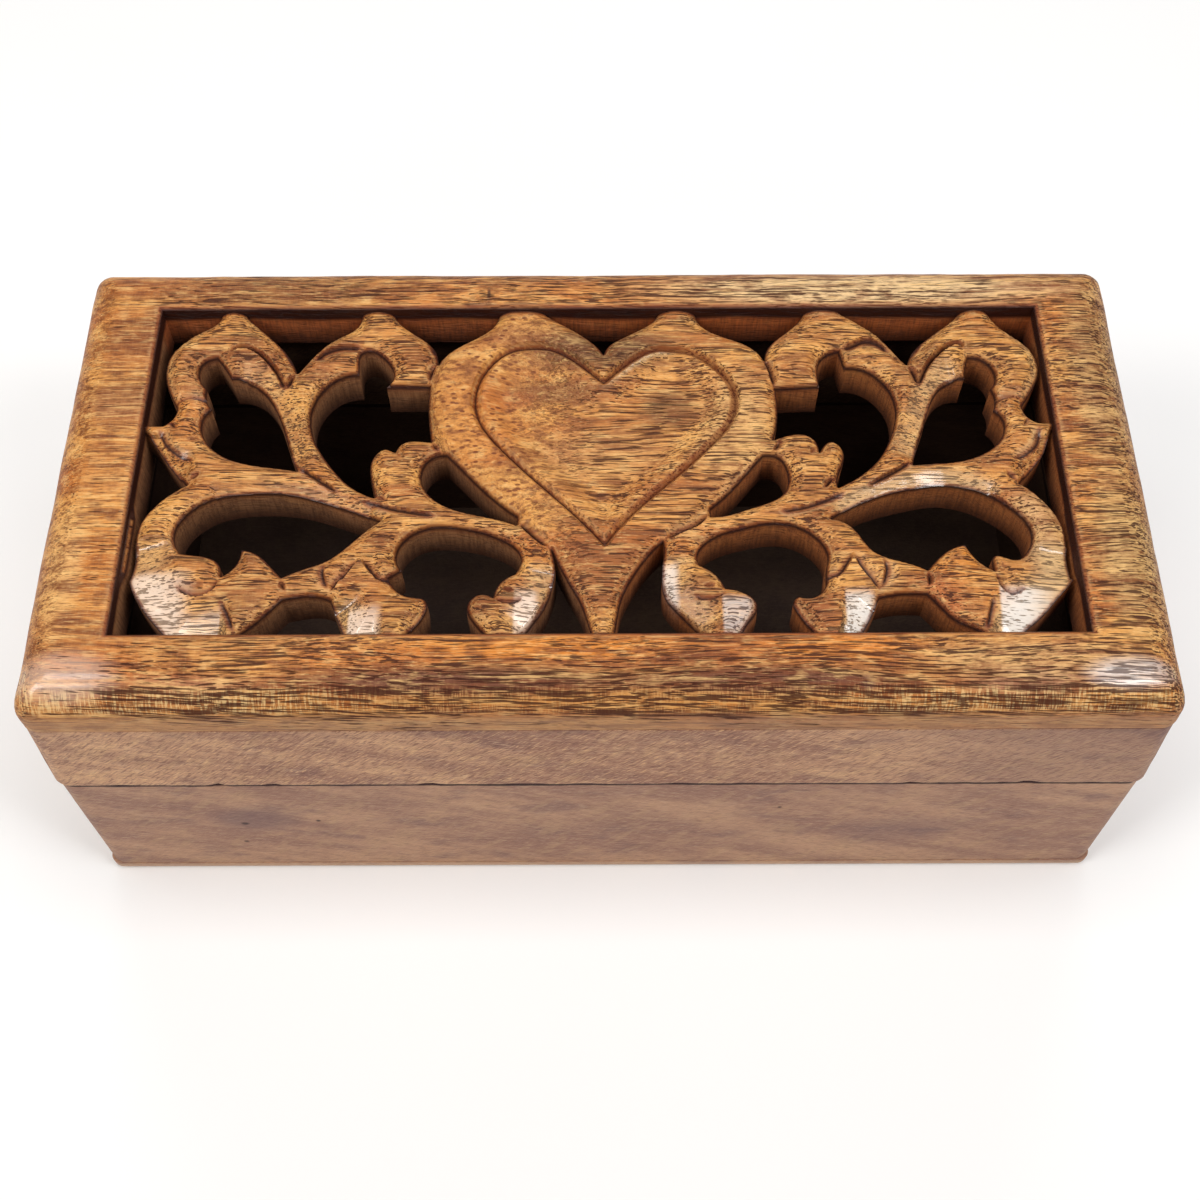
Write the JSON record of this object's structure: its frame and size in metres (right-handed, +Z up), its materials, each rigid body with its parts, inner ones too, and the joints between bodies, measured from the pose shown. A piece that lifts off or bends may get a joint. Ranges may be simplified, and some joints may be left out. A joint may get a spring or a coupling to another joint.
{
  "type": "keepsake box",
  "caption": "Oblong wooden keepsake box with a hinged lid whose top board is pierced and carved with a heart between scrolling leaves.",
  "frame": {"origin": "centre of the underside of the base, on the surface that the box stands on", "axes": "+X along the length, +Y from the front to the hinged back, +Z up"},
  "size_m": [0.2008, 0.0964, 0.076],
  "materials": {
    "carved_wood": "golden-brown open-pored hardwood, oiled and waxed, with dark stain left in the cuts",
    "lid_wood": "the same hardwood, duller and browner, lightly waxed",
    "base_wood": "the same hardwood, duller and mauve-brown, lightly waxed",
    "panel_wood": "thin plain board, unwaxed inside",
    "brass": "small pressed hinges, slightly dulled",
    "steel": "plain wire brads"
  },
  "bodies": {
    "base": {"base_bottom_panel": "panel_wood", "base_front_wall": "base_wood", "base_back_wall": "base_wood", "base_left_wall": "base_wood", "base_right_wall": "base_wood", "hinge_left_base_leaf": "brass", "hinge_right_base_leaf": "brass", "hinge_left_pin": "brass", "hinge_right_pin": "brass", "base_hinge_screws": "brass", "bottom_panel_brads": "steel"},
    "lid": {"lid_carved_panel": "carved_wood", "lid_front_rail": "lid_wood", "lid_back_rail": "lid_wood", "lid_left_rail": "lid_wood", "lid_right_rail": "lid_wood", "hinge_left_lid_leaf": "brass", "hinge_right_lid_leaf": "brass", "lid_hinge_screws": "brass"}
  },
  "joints": [
    {"name": "lid_hinge", "type": "hinge", "parent": "base", "child": "lid", "pos_m": [0, 0.0462, 0.0427], "axis": [-1, 0, 0], "range_deg": [0, 104]}
  ]
}
